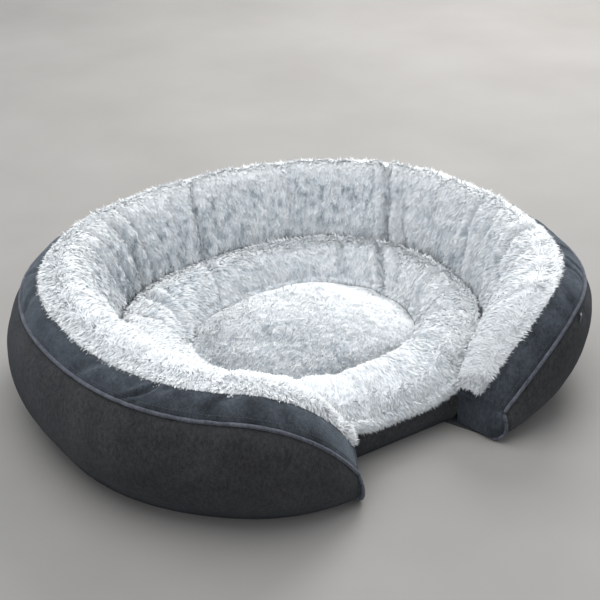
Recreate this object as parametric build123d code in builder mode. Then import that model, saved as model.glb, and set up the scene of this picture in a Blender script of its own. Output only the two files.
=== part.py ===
from build123d import *
import os
from math import cos, radians, sin

# Oval pet bed: a high C-shaped bolster with an entrance at the front (-Y), a lower stuffed ring inside it,
# and a domed cushion in the middle. Millimetres, +Z up, origin under the middle of the bed.
# Sections are taken in upright planes that turn about the hub. Angle 0 points out of the entrance, 180 at the back.

# Plan of the outer wall at its widest, an oval about the hub
hub_y = -66.4
half_width = 465.0
half_depth = 415.0
oval_centre = 39.0
oval_power = 2.2

# Angles from the entrance
tip_angle = 24.0
arm_angle = 50.0
side_angle = 90.0
tip_tuck = 51.0

# Bolster section, each size given at the arm's tip, on the arm, and round the sides and back
base_inset = (19.0, 50.0, 38.0)
bulge_height = (26.0, 98.0, 100.0)
piping_inset = (8.0, 11.0, 28.0)
piping_height = (50.0, 186.0, 180.0)
plush_edge_inset = (48.0, 48.0, 57.0)
plush_edge_height = (74.0, 209.0, 207.0)
crest_inset = (66.0, 90.0, 103.0)
crest_height = (80.0, 217.0, 230.0)
crease_inset = (88.0, 168.0, 177.0)
crease_height = (66.0, 99.0, 112.0)
bolster_lean = 12.0

# Inner ring and centre cushion
entrance_edge_y = 232.0
entrance_foot_y = 217.0
entrance_edge_height = 55.0
ring_crest_height = (104.0, 119.0, 122.0)
centre_half_width = 187.0
centre_half_depth = 147.0
centre_middle = 27.0
centre_power = 2.3
centre_edge_height = 77.0
dome_top = 108.0
dome_radius = 470.0

# Fabrics, fills and sewing
cloth = 1.5
plush = 4.0
fill_depth = 5.5
panel_gap = 1.0
base_cloth = 1.5
wadding_bottom = 2.0
wadding_top = 10.0
skin_foot = 2.5
fill_foot = 10.5
seam_gap = 1.5
piping_radius = 2.8
bore_radius = 1.8
cord_radius = 1.4
thread_radius = 0.7
arc_flatness = 0.99
tag_width = 10.0
tag_drop = 15.0
tag_thickness = 0.8
tag_angle = 43.0
tag_stand_off = 2.2

# Angles of the sections, from the arm's tip to the back, and from the middle of the entrance to the back
half_angles = (24.5, 27.0, 30.0, 34.0, 39.0, 45.0, 52.0, 60.0, 70.0, 80.0, 90.0, 102.0, 115.0, 130.0, 145.0)
half_angles = half_angles + (162.0, 178.5, 180.0)
ring_angles = (0.0, 1.5, 10.0, 18.0, 24.0) + half_angles[1:]
past_back = 181.5

os.makedirs("parts", exist_ok=True)


# ---- Formulas for the plan and the sections ----


def smooth(share):
    """An even S-shaped step from 0 to 1."""
    share = min(max(share, 0.0), 1.0)
    return share * share * (3.0 - 2.0 * share)


def rise(share):
    """A step from 0 to 1 that starts fast and levels off."""
    share = min(max(share, 0.0), 1.0)
    return 1.0 - (1.0 - share) ** 2


def along(sizes, angle):
    """A section size at an angle, from its values at the tip, on the arm and round the sides."""
    tip, arm, side = sizes
    up_the_arm = rise((angle - tip_angle) / (arm_angle - tip_angle))
    round_the_side = smooth((angle - arm_angle) / (side_angle - arm_angle))
    return tip + (arm - tip) * up_the_arm + (side - arm) * round_the_side


def oval_radius(angle, width, depth, middle, power):
    """Distance from the hub to an oval, by halving the step until it meets the outline."""
    near, far = 0.0, 2.0 * width
    for _ in range(40):
        radius = (near + far) / 2.0
        across = abs(radius * sin(radians(angle))) / width
        ahead = abs(-radius * cos(radians(angle)) - middle) / depth
        if across**power + ahead**power > 1.0:
            far = radius
        else:
            near = radius
    return near


def wall_radius(angle):
    """Distance from the hub to the outer wall at its widest, tucked in towards the arm's tip."""
    tuck = tip_tuck * (1.0 - rise((angle - tip_angle) / (arm_angle - tip_angle)))
    return oval_radius(angle, half_width, half_depth, oval_centre, oval_power) - tuck


def centre_radius(angle):
    """Distance from the hub to the seam round the centre cushion."""
    return oval_radius(angle, centre_half_width, centre_half_depth, centre_middle, centre_power)


def crease_radius(angle):
    """Distance from the hub to the seam between bolster and ring, or to the ring's front edge."""
    if angle < tip_angle:
        return entrance_edge_y / cos(radians(angle))
    return wall_radius(angle) - along(crease_inset, angle)


def section_plane(angle):
    """The upright plane through the hub at an angle, with its X outwards and its Y up."""
    outwards = (sin(radians(angle)), -cos(radians(angle)), 0.0)
    return Plane(origin=(0.0, hub_y, 0.0), x_dir=outwards, z_dir=(outwards[1], -outwards[0], 0.0))


def in_space(angle, radius, height):
    """A section point as a point of the bed."""
    return Vector(radius * sin(radians(angle)), hub_y - radius * cos(radians(angle)), height)


# ---- Section curves, drawn with X outwards and Y up. A skin runs from outside over the top to inside ----


def bolster_marks(angle):
    """The named points on the bolster's skin, from its outer foot to the crease."""
    wall = wall_radius(angle)
    crest = (wall - along(crest_inset, angle), along(crest_height, angle))
    crease = (wall - along(crease_inset, angle), along(crease_height, angle))
    return {
        "foot": (wall - along(base_inset, angle), skin_foot),
        "bulge": (wall, along(bulge_height, angle)),
        "piping": (wall - along(piping_inset, angle), along(piping_height, angle)),
        "plush_edge": (wall - along(plush_edge_inset, angle), along(plush_edge_height, angle)),
        "crest": crest,
        "shoulder": (crest[0] + 0.68 * (crease[0] - crest[0]), crest[1] + 0.40 * (crease[1] - crest[1])),
        "crease": crease,
    }


def bolster_foot(angle, depth):
    """The corner under the crease, where the bolster stands beside the ring."""
    return [Vector(crease_radius(angle) + bolster_lean + depth, skin_foot)]


def ring_marks(angle):
    """The named points on the inner ring's skin, from its outer edge to the centre cushion."""
    edge = crease_radius(angle) - 2.0 * seam_gap
    inside = centre_radius(angle) + seam_gap
    width = edge - inside
    behind_tip = smooth((angle - tip_angle / 2.0) / (tip_angle / 2.0))
    edge_height = entrance_edge_height + behind_tip * (along(crease_height, angle) - entrance_edge_height)
    crest_height_here = along(ring_crest_height, angle)
    return {
        "edge": (edge, edge_height),
        "outer_shoulder": (inside + 0.84 * width, edge_height + 0.62 * (crest_height_here - edge_height)),
        "crest": (inside + 0.50 * width, crest_height_here),
        "inner_shoulder": (inside + 0.16 * width, centre_edge_height + 26.0),
        "inside": (inside, centre_edge_height),
    }


def ring_feet(angle, depth):
    """The two corners under the ring, first at the centre cushion and then at the bolster or the entrance."""
    lean = entrance_foot_y - entrance_edge_y
    lean = lean + (bolster_lean - lean) * smooth((angle - tip_angle) / 20.0)
    inner = Vector(centre_radius(angle) + seam_gap + depth, fill_foot)
    outer = Vector(crease_radius(angle) - 2.0 * seam_gap + lean - depth, fill_foot)
    return [inner, outer]


def offset_points(marks, start, end, depth, count, trim=0.0):
    """Points along a skin between two marks, moved a depth inwards, with the two ends trimmed by a length."""
    skin = Spline(*marks.values())
    first = skin.param_at_point(Vector(*marks[start])) + trim / skin.length
    last = skin.param_at_point(Vector(*marks[end])) - trim / skin.length
    points = []
    for step in range(count):
        share = first + (last - first) * step / (count - 1)
        heading = skin % share
        points.append((skin @ share) + Vector(-heading.Y, heading.X) * depth)
    return points


def panel_section(angle, marks, start, end, thickness, count=7):
    """Section of a fabric panel that lies on the skin between two marks."""
    outer = offset_points(marks, start, end, 0.0, count, panel_gap)
    inner = offset_points(marks, start, end, thickness, count, panel_gap)
    inner.reverse()
    with BuildSketch(section_plane(angle)) as section:
        with BuildLine():
            Spline(*outer)
            Line(outer[-1], inner[0])
            Spline(*inner)
            Line(inner[-1], outer[0])
        make_face()
    return section.sketch


def fill_section(angle, marks, corners, depth, count=19):
    """Section of a stuffing, inside the skin and flat underneath, closed through its lower corners."""
    names = list(marks)
    outline = offset_points(marks, names[0], names[-1], depth, count)
    with BuildSketch(section_plane(angle)) as section:
        with BuildLine():
            Spline(*outline)
            Polyline(outline[-1], *corners, outline[0])
        make_face()
    return section.sketch


def tube_section(middle, across, ahead, radius, in_quarters):
    """A round section, either one circle or four arcs that are each a touch flat, so that a thin mesh stays round."""
    with BuildSketch(Plane(origin=middle, x_dir=across, z_dir=ahead)) as section:
        if in_quarters:
            with BuildLine():
                for start in (0.0, 90.0, 180.0, 270.0):
                    marks = ((1.0, start), (arc_flatness, start + 45.0), (1.0, start + 90.0))
                    ThreePointArc(*[Vector(share * radius, 0.0).rotate(Axis.Z, turn) for share, turn in marks])
            make_face()
        else:
            Circle(radius)
    return section.sketch


def tube_sections(path, radius, in_quarters=True):
    """Sections at every point of a path but its two ends, turned with the path from its last point back."""
    sections = []
    across = Vector(path[-1].X, path[-1].Y - hub_y, 0.0)
    for i in range(len(path) - 2, 0, -1):
        ahead = (path[i + 1] - path[i - 1]).normalized()
        across = (across - ahead * across.dot(ahead)).normalized()
        sections.append(tube_section(path[i], across, ahead, radius, in_quarters))
    sections.reverse()
    return sections


def stand_off_point(angle, mark, stand_off):
    """A point of the bed that stands off square from the bolster's skin at a mark."""
    marks = bolster_marks(angle)
    point = offset_points(marks, mark, mark, -stand_off, 2)[0]
    return in_space(angle, point.X, point.Y)


def seam_path(marks_at, mark, across, drop, angles):
    """A line round the bed in a seam's gap, beside one mark of a section and below it."""
    marks = [marks_at(angle)[mark] for angle in angles]
    return [in_space(a, radius + across, height - drop) for a, (radius, height) in zip(angles, marks)]


# ---- Base ----


def plan_outline(radius_at, inset):
    """Outline round the bolster from one arm's tip to the other, closed straight across the entrance."""
    tip = tip_angle
    steps = 30
    angles = [tip + (360.0 - 2.0 * tip) * step / steps for step in range(steps + 1)]
    folded = [min(angle, 360.0 - angle) for angle in angles]
    return [in_space(a, radius_at(f) - inset, 0.0) for a, f in zip(angles, folded)]


def foot_radius(angle):
    """Distance from the hub to the foot of the outer wall."""
    return wall_radius(angle) - along(base_inset, angle)


base_rim = plan_outline(foot_radius, 0.0)
entrance_foot_x = (entrance_foot_y - 1.0) * sin(radians(tip_angle)) / cos(radians(tip_angle))
with BuildPart() as base_panel:
    with BuildSketch(Plane.XY):
        with BuildLine():
            Spline(*base_rim)
            Line(base_rim[-1], (-entrance_foot_x, hub_y - entrance_foot_y))
            Line((-entrance_foot_x, hub_y - entrance_foot_y), (entrance_foot_x, hub_y - entrance_foot_y))
            Line((entrance_foot_x, hub_y - entrance_foot_y), base_rim[0])
        make_face()
    extrude(amount=base_cloth)

wadding_rim = [in_space(a, ring_feet(a, 0.0)[1].X - 3.0, 0.0) for a in ring_angles]
with BuildPart() as base_wadding:
    with BuildSketch(Plane.XY.offset(wadding_bottom)):
        with BuildLine():
            Spline(*wadding_rim)
            Line(wadding_rim[-1], wadding_rim[0])
        make_face()
        mirror(about=Plane.YZ)
    extrude(amount=wadding_top - wadding_bottom)

# ---- Bolster: stuffing, outer wall, upper band with the arms' end faces, and plush ----

with BuildPart() as bolster_fill:
    loft([fill_section(a, bolster_marks(a), bolster_foot(a, fill_depth), fill_depth) for a in half_angles])
    mirror(about=Plane.YZ)

with BuildPart() as outer_wall_panel:
    loft([panel_section(a, bolster_marks(a), "foot", "piping", cloth) for a in half_angles])
    mirror(about=Plane.YZ)

tip_marks = bolster_marks(tip_angle)
tip_face_sketch = fill_section(tip_angle, tip_marks, bolster_foot(tip_angle, 0.0), 0.0)
band_angles = (tip_angle,) + half_angles
with BuildPart() as upper_band_panel:
    loft([panel_section(a, bolster_marks(a), "piping", "plush_edge", cloth) for a in band_angles])
    extrude(tip_face_sketch, amount=-cloth)
    mirror(about=Plane.YZ)

with BuildPart() as bolster_plush_panel:
    loft([panel_section(a, bolster_marks(a), "plush_edge", "crease", plush, 9) for a in half_angles])
    mirror(about=Plane.YZ)

# ---- Inner ring: stuffing, plush and the fabric front across the entrance ----

with BuildPart() as inner_ring_fill:
    loft([fill_section(a, ring_marks(a), ring_feet(a, fill_depth), fill_depth) for a in ring_angles])
    mirror(about=Plane.YZ)

with BuildPart() as inner_ring_plush_panel:
    loft([panel_section(a, ring_marks(a), "edge", "inside", plush, 9) for a in ring_angles])
    mirror(about=Plane.YZ)

gusset_half_length = 93.0
gusset_points = (
    (hub_y - entrance_foot_y + 2.0, skin_foot),
    (hub_y - entrance_edge_y - 1.0, entrance_edge_height / 2.0 + 8.0),
    (hub_y - entrance_edge_y + 1.0, entrance_edge_height - panel_gap),
)
with BuildPart() as front_gusset:
    with BuildSketch(Plane.YZ):
        with BuildLine():
            outer_face = ThreePointArc(*gusset_points)
            offset(outer_face, amount=cloth, side=Side.RIGHT)
        make_face()
    extrude(amount=gusset_half_length, both=True)

# ---- Centre cushion ----


def centre_outline(inset):
    """Points of the centre cushion's outline, pulled in by an inset."""
    return [in_space(a, centre_radius(a) - inset, 0.0) for a in range(0, 360, 15)]


with BuildPart() as centre_fill:
    with BuildSketch(Plane.XY.offset(fill_foot)):
        with BuildLine():
            Spline(*centre_outline(seam_gap + 1.0), periodic=True)
        make_face()
    extrude(amount=dome_top)
    with Locations((0.0, hub_y + centre_middle, dome_top - fill_depth - dome_radius)):
        Sphere(dome_radius, mode=Mode.INTERSECT)

with BuildPart() as centre_plush_panel:
    with BuildSketch(Plane.XY.offset(dome_top / 2.0)):
        with BuildLine():
            Spline(*centre_outline(seam_gap), periodic=True)
        make_face()
    extrude(amount=dome_top)
    with Locations((0.0, hub_y + centre_middle, dome_top - dome_radius)):
        Sphere(dome_radius, mode=Mode.INTERSECT)
        Sphere(dome_radius - plush, mode=Mode.SUBTRACT)

# ---- Piping: a folded strip along the top of the wall and down the arms' end seams ----
# The cord inside it stops short of the arms' ends, where the strip is sewn flat.

piping_stand_off = piping_radius + 2.6
corner_angle = tip_angle - 0.8
piping_angles = half_angles[1:] + (past_back,)
piping_top = [stand_off_point(a, "piping", piping_stand_off) for a in piping_angles]
corner_mark = offset_points(tip_marks, "piping", "piping", -piping_stand_off, 2)[0]
end_seam = [
    in_space(corner_angle, tip_marks["foot"][0] - 2.0, -1.0),
    in_space(corner_angle, tip_marks["foot"][0] + 2.0, piping_radius + 0.2),
    in_space(corner_angle, tip_marks["foot"][0] + 7.0, piping_radius + 5.0),
    in_space(corner_angle, tip_marks["bulge"][0] + 1.0, tip_marks["bulge"][1] + 4.0),
    in_space(corner_angle, corner_mark.X, corner_mark.Y),
]
piping_path = end_seam + piping_top

with BuildPart() as piping_cord:
    loft(tube_sections(piping_top[2:], cord_radius))
    mirror(about=Plane.YZ)

with BuildPart() as cord_space:
    loft(tube_sections(piping_path, bore_radius, False))
    mirror(about=Plane.YZ)

with BuildPart() as piping_cover:
    loft(tube_sections(piping_path, piping_radius, False))
    mirror(about=Plane.YZ)
    add(cord_space.part, mode=Mode.SUBTRACT)

# ---- Sewing thread in the seams that the plush hides ----

thread_angles = (25.5,) + half_angles[1:] + (past_back,)
with BuildPart() as crease_seam_thread:
    loft(tube_sections(seam_path(bolster_marks, "crease", -seam_gap, 4.0, thread_angles), thread_radius))
    mirror(about=Plane.YZ)

with BuildPart() as plush_seam_thread:
    edge_path = [stand_off_point(a, "plush_edge", thread_radius + 0.4) for a in thread_angles]
    loft(tube_sections(edge_path, thread_radius))
    mirror(about=Plane.YZ)

centre_angles = (-1.5,) + ring_angles + (past_back,)
with BuildPart() as centre_seam_thread:
    loft(tube_sections(seam_path(ring_marks, "inside", -seam_gap, 4.0, centre_angles), thread_radius))
    mirror(about=Plane.YZ)

# ---- Side tag: a small blank folded label sewn under the piping ----

tag_marks = bolster_marks(tag_angle)
tag_skin = Spline(*tag_marks.values())
tag_share = tag_skin.param_at_point(Vector(*tag_marks["piping"])) - (tag_drop / 2.0 + 5.0) / tag_skin.length
tag_middle = tag_skin @ tag_share
tag_heading = tag_skin % tag_share
tag_up = in_space(tag_angle, tag_heading.X, tag_heading.Y) - in_space(tag_angle, 0.0, 0.0)
tag_out = in_space(tag_angle, tag_heading.Y, -tag_heading.X) - in_space(tag_angle, 0.0, 0.0)
tag_origin = in_space(tag_angle, tag_middle.X, tag_middle.Y) + tag_out * tag_stand_off
with BuildPart() as side_tag:
    with BuildSketch(Plane(origin=tag_origin, x_dir=tag_up, z_dir=tag_out)):
        RectangleRounded(tag_drop, tag_width, 1.5)
    extrude(amount=tag_thickness)

# ---- Write every piece ----

base_panel.part.label = "base_panel"
base_wadding.part.label = "base_wadding"
bolster_fill.part.label = "bolster_fill"
outer_wall_panel.part.label = "outer_wall_panel"
upper_band_panel.part.label = "upper_band_panel"
bolster_plush_panel.part.label = "bolster_plush_panel"
inner_ring_fill.part.label = "inner_ring_fill"
inner_ring_plush_panel.part.label = "inner_ring_plush_panel"
front_gusset.part.label = "front_gusset"
centre_fill.part.label = "centre_fill"
centre_plush_panel.part.label = "centre_plush_panel"
piping_cord.part.label = "piping_cord"
piping_cover.part.label = "piping_cover"
crease_seam_thread.part.label = "crease_seam_thread"
plush_seam_thread.part.label = "plush_seam_thread"
centre_seam_thread.part.label = "centre_seam_thread"
side_tag.part.label = "side_tag"

export_step(base_panel.part, "parts/base_panel.step")
export_step(base_wadding.part, "parts/base_wadding.step")
export_step(bolster_fill.part, "parts/bolster_fill.step")
export_step(outer_wall_panel.part, "parts/outer_wall_panel.step")
export_step(upper_band_panel.part, "parts/upper_band_panel.step")
export_step(bolster_plush_panel.part, "parts/bolster_plush_panel.step")
export_step(inner_ring_fill.part, "parts/inner_ring_fill.step")
export_step(inner_ring_plush_panel.part, "parts/inner_ring_plush_panel.step")
export_step(front_gusset.part, "parts/front_gusset.step")
export_step(centre_fill.part, "parts/centre_fill.step")
export_step(centre_plush_panel.part, "parts/centre_plush_panel.step")
export_step(piping_cord.part, "parts/piping_cord.step")
export_step(piping_cover.part, "parts/piping_cover.step")
export_step(crease_seam_thread.part, "parts/crease_seam_thread.step")
export_step(plush_seam_thread.part, "parts/plush_seam_thread.step")
export_step(centre_seam_thread.part, "parts/centre_seam_thread.step")
export_step(side_tag.part, "parts/side_tag.step")
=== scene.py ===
import math

import bpy
import numpy as np
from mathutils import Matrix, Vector


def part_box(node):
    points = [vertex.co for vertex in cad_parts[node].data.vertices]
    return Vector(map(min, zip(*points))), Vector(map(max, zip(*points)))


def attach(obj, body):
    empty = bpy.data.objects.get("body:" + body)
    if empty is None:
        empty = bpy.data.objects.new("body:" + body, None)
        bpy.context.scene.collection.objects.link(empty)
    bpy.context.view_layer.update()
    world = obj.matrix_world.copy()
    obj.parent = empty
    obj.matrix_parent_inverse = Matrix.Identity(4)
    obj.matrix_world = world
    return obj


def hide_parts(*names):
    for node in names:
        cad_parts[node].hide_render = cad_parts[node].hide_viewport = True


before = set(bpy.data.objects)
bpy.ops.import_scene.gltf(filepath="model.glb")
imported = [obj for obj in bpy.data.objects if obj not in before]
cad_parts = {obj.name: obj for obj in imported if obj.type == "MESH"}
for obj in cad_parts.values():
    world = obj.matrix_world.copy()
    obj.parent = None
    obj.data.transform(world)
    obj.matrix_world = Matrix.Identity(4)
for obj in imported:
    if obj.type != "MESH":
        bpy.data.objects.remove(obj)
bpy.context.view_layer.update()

# Oval pet bed. Sizes in metres, angles in degrees from the middle of the entrance (-Y), rising towards +X.

# ---- Plan and section sizes, the same as the CAD part's ----

HUB_Y = -0.0664
HALF_WIDTH, HALF_DEPTH, OVAL_CENTRE, OVAL_POWER = 0.465, 0.415, 0.039, 2.2
CENTRE_HALF_WIDTH, CENTRE_HALF_DEPTH, CENTRE_MIDDLE, CENTRE_POWER = 0.187, 0.147, 0.027, 2.3
TIP, ARM, SIDE = 24.0, 50.0, 90.0
TIP_TUCK = 0.051
# Each at the arm's tip, on the arm, and round the sides and back
BASE_INSET = (0.019, 0.050, 0.038)
BULGE_HEIGHT = (0.026, 0.098, 0.100)
PIPING_INSET = (0.008, 0.011, 0.028)
PIPING_HEIGHT = (0.050, 0.186, 0.180)
PLUSH_EDGE_INSET = (0.048, 0.048, 0.057)
PLUSH_EDGE_HEIGHT = (0.074, 0.209, 0.207)
CREST_INSET = (0.066, 0.090, 0.103)
CREST_HEIGHT = (0.080, 0.217, 0.230)
CREASE_INSET = (0.088, 0.168, 0.177)
CREASE_HEIGHT = (0.066, 0.099, 0.112)
RING_CREST_HEIGHT = (0.104, 0.119, 0.122)
ENTRANCE_EDGE_Y, ENTRANCE_EDGE_HEIGHT = 0.232, 0.055
CENTRE_EDGE_HEIGHT, DOME_TOP, DOME_RADIUS = 0.077, 0.108, 0.470
SEAM_GAP, SKIN_FOOT = 0.0015, 0.0025
PIPING_RADIUS = 0.0028

# ---- Number helpers ----


def smooth(share):
    share = np.clip(share, 0.0, 1.0)
    return share * share * (3.0 - 2.0 * share)


def rise(share):
    return 1.0 - (1.0 - np.clip(share, 0.0, 1.0)) ** 2


def along(sizes, angle):
    """A section size at each angle, from its values at the tip, on the arm and round the sides."""
    tip, arm, side = sizes
    up_the_arm = (arm - tip) * rise((angle - TIP) / (ARM - TIP))
    return tip + up_the_arm + (side - arm) * smooth((angle - ARM) / (SIDE - ARM))


def oval_radius(angle, width, depth, middle, power):
    """Distance from the hub to an oval, by halving the step."""
    near, far = np.zeros_like(angle), np.full_like(angle, 2.0 * width)
    sine, cosine = np.sin(np.radians(angle)), np.cos(np.radians(angle))
    for _ in range(40):
        radius = (near + far) / 2.0
        wide, deep = np.abs(radius * sine) / width, np.abs(-radius * cosine - middle) / depth
        outside = wide**power + deep**power > 1.0
        far = np.where(outside, radius, far)
        near = np.where(outside, near, radius)
    return near


def folded(turn):
    """The angle from the entrance on either side, for a turn from 0 to 360."""
    return np.minimum(turn, 360.0 - turn)


def wall_radius(angle):
    tuck = TIP_TUCK * (1.0 - rise((angle - TIP) / (ARM - TIP)))
    return oval_radius(angle, HALF_WIDTH, HALF_DEPTH, OVAL_CENTRE, OVAL_POWER) - tuck


def centre_radius(angle):
    return oval_radius(angle, CENTRE_HALF_WIDTH, CENTRE_HALF_DEPTH, CENTRE_MIDDLE, CENTRE_POWER)


def crease_radius(angle):
    front = ENTRANCE_EDGE_Y / np.cos(np.radians(np.minimum(angle, TIP)))
    return np.where(angle < TIP, front, wall_radius(angle) - along(CREASE_INSET, angle))


def in_space(turn, radius, height):
    """Points of the bed from turn, distance from the hub and height, as arrays of one shape."""
    sine, cosine = np.sin(np.radians(turn)), np.cos(np.radians(turn))
    return np.stack([radius * sine, HUB_Y - radius * cosine, height + 0.0 * radius], axis=-1)


def unit(vectors):
    return vectors / np.maximum(np.linalg.norm(vectors, axis=-1, keepdims=True), 1e-12)


def lattice(cells, seed):
    """A fixed pseudo-random value from -1 to 1 for each whole-numbered cell."""
    mask = np.int64(0xFFFFFFFF)
    mixed = cells[..., 0] * 374761393 + cells[..., 1] * 668265263 + cells[..., 2] * 69069
    mixed = (mixed + seed * 362437) & mask
    mixed = ((mixed ^ (mixed >> 13)) * 1274126177) & mask
    mixed = ((mixed ^ (mixed >> 15)) * 668265263) & mask
    return (mixed ^ (mixed >> 16)) / 2147483647.5 - 1.0


def noise(points, size, seed=0):
    """Smooth noise from -1 to 1 at 3-D points, with lumps of about a size, which may differ in X, Y and Z."""
    scaled = points / np.asarray(size)
    cell = np.floor(scaled).astype(np.int64)
    part = smooth(scaled - cell)
    total = 0.0
    for corner in range(8):
        step = np.array([corner & 1, (corner >> 1) & 1, (corner >> 2) & 1])
        weight = np.prod(np.where(step == 1, part, 1.0 - part), axis=-1)
        total = total + weight * lattice(cell + step, seed)
    return total


# ---- Section curves: arrays of columns, each a smooth curve through its marks (radius, height) ----


def curve_rows(marks, start, end, shares):
    """Points at even shares of the length between two marks, on a cubic curve through each column's marks."""
    step = np.linalg.norm(np.diff(marks, axis=1), axis=2)
    count = marks.shape[1]
    system = np.zeros((len(marks), count, count))
    right = np.zeros((len(marks), count, 2))
    system[:, 0, 0], system[:, 0, 1] = 1.0, -1.0
    system[:, -1, -1], system[:, -1, -2] = 1.0, -1.0
    slope = np.diff(marks, axis=1) / step[..., None]
    for k in range(1, count - 1):
        system[:, k, k - 1], system[:, k, k + 1] = step[:, k - 1], step[:, k]
        system[:, k, k] = 2.0 * (step[:, k - 1] + step[:, k])
        right[:, k] = 6.0 * (slope[:, k] - slope[:, k - 1])
    bend = np.linalg.solve(system, right)
    part = np.linspace(0.0, 1.0, 41)[None, :, None]
    pieces = []
    for k in range(start, end):
        first, last = marks[:, k, None], marks[:, k + 1, None]
        square = step[:, k, None, None] ** 2 / 6.0
        before, after = (1.0 - part) ** 3 - (1.0 - part), part**3 - part
        curve = (1.0 - part) * first + part * last
        pieces.append(curve + square * (before * bend[:, k, None] + after * bend[:, k + 1, None]))
    dense = np.concatenate(pieces, axis=1)
    length = np.concatenate(
        [np.zeros((len(marks), 1)), np.cumsum(np.linalg.norm(np.diff(dense, axis=1), axis=2), axis=1)], axis=1
    )
    rows = np.empty((len(marks), len(shares), 2))
    for i in range(len(marks)):
        wanted = shares * length[i, -1]
        rows[i, :, 0] = np.interp(wanted, length[i], dense[i, :, 0])
        rows[i, :, 1] = np.interp(wanted, length[i], dense[i, :, 1])
    return rows


def bolster_marks(angle):
    wall = wall_radius(angle)
    crest = (wall - along(CREST_INSET, angle), along(CREST_HEIGHT, angle))
    crease = (wall - along(CREASE_INSET, angle), along(CREASE_HEIGHT, angle))
    marks = [
        (wall - along(BASE_INSET, angle), SKIN_FOOT + 0.0 * wall),
        (wall, along(BULGE_HEIGHT, angle)),
        (wall - along(PIPING_INSET, angle), along(PIPING_HEIGHT, angle)),
        (wall - along(PLUSH_EDGE_INSET, angle), along(PLUSH_EDGE_HEIGHT, angle)),
        crest,
        (crest[0] + 0.68 * (crease[0] - crest[0]), crest[1] + 0.40 * (crease[1] - crest[1])),
        crease,
    ]
    return np.stack([np.stack(mark, axis=-1) for mark in marks], axis=1)


def ring_marks(angle):
    edge = crease_radius(angle) - 2.0 * SEAM_GAP
    inside = centre_radius(angle) + SEAM_GAP
    width = edge - inside
    behind_tip = smooth((angle - TIP / 2.0) / (TIP / 2.0))
    edge_height = ENTRANCE_EDGE_HEIGHT + behind_tip * (along(CREASE_HEIGHT, angle) - ENTRANCE_EDGE_HEIGHT)
    crest = along(RING_CREST_HEIGHT, angle)
    marks = [
        (edge, edge_height),
        (inside + 0.84 * width, edge_height + 0.62 * (crest - edge_height)),
        (inside + 0.50 * width, crest),
        (inside + 0.16 * width, CENTRE_EDGE_HEIGHT + 0.026 + 0.0 * width),
        (inside, CENTRE_EDGE_HEIGHT + 0.0 * width),
    ]
    return np.stack([np.stack(mark, axis=-1) for mark in marks], axis=1)


def even_turns(first, last, count, radius_at):
    """Turns spread so that columns stand about evenly along the outline."""
    fine = np.linspace(first, last, 2001)
    points = in_space(fine, radius_at(folded(fine)), np.zeros_like(fine))
    length = np.concatenate([[0.0], np.cumsum(np.linalg.norm(np.diff(points, axis=0), axis=1))])
    return np.interp(np.linspace(0.0, length[-1], count), length, fine)


def grid_normals(points, closed):
    if closed:
        round_way = np.roll(points, -1, axis=0) - np.roll(points, 1, axis=0)
    else:
        round_way = np.gradient(points, axis=0)
    return unit(np.cross(round_way, np.gradient(points, axis=1)))


# ---- Folds: each runs between two turns as share goes from 0 (outer edge) to 1 (inner edge) ----

# (turn at the outer end, turn at the inner end, first share, last share, half width, depth)
BOLSTER_FOLDS = (
    (94.0, 84.0, 0.10, 1.00, 0.008, 0.012),
    (88.0, 79.0, 0.25, 0.95, 0.006, 0.006),
    (75.0, 65.0, 0.08, 0.98, 0.008, 0.010),
    (66.0, 59.0, 0.05, 0.70, 0.006, 0.005),
    (56.0, 50.0, 0.00, 0.60, 0.007, 0.005),
    (44.0, 42.0, 0.00, 0.75, 0.006, 0.004),
    (129.0, 121.0, 0.12, 1.00, 0.008, 0.011),
    (121.0, 114.0, 0.30, 1.00, 0.008, 0.006),
    (108.0, 103.0, 0.20, 0.80, 0.008, 0.004),
    (140.0, 134.0, 0.15, 0.60, 0.007, 0.0025),
    (157.0, 150.0, 0.20, 0.95, 0.010, 0.0050),
    (149.0, 144.0, 0.30, 0.75, 0.008, 0.0025),
    (168.0, 164.0, 0.35, 0.80, 0.010, 0.0020),
    (181.0, 187.0, 0.15, 1.00, 0.007, 0.008),
    (191.0, 197.0, 0.30, 0.85, 0.009, 0.0030),
    (200.0, 204.0, 0.25, 0.80, 0.008, 0.0030),
    (208.0, 211.0, 0.10, 1.00, 0.006, 0.008),
    (216.0, 216.0, 0.08, 1.00, 0.008, 0.013),
    (224.0, 221.0, 0.10, 1.00, 0.006, 0.008),
    (232.0, 229.0, 0.10, 0.85, 0.007, 0.006),
    (241.0, 250.0, 0.12, 0.80, 0.007, 0.005),
    (254.0, 262.0, 0.15, 0.85, 0.008, 0.004),
    (268.0, 276.0, 0.10, 0.80, 0.008, 0.003),
    (284.0, 290.0, 0.15, 0.80, 0.009, 0.003),
    (303.0, 305.0, 0.10, 0.80, 0.009, 0.003),
)
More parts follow.
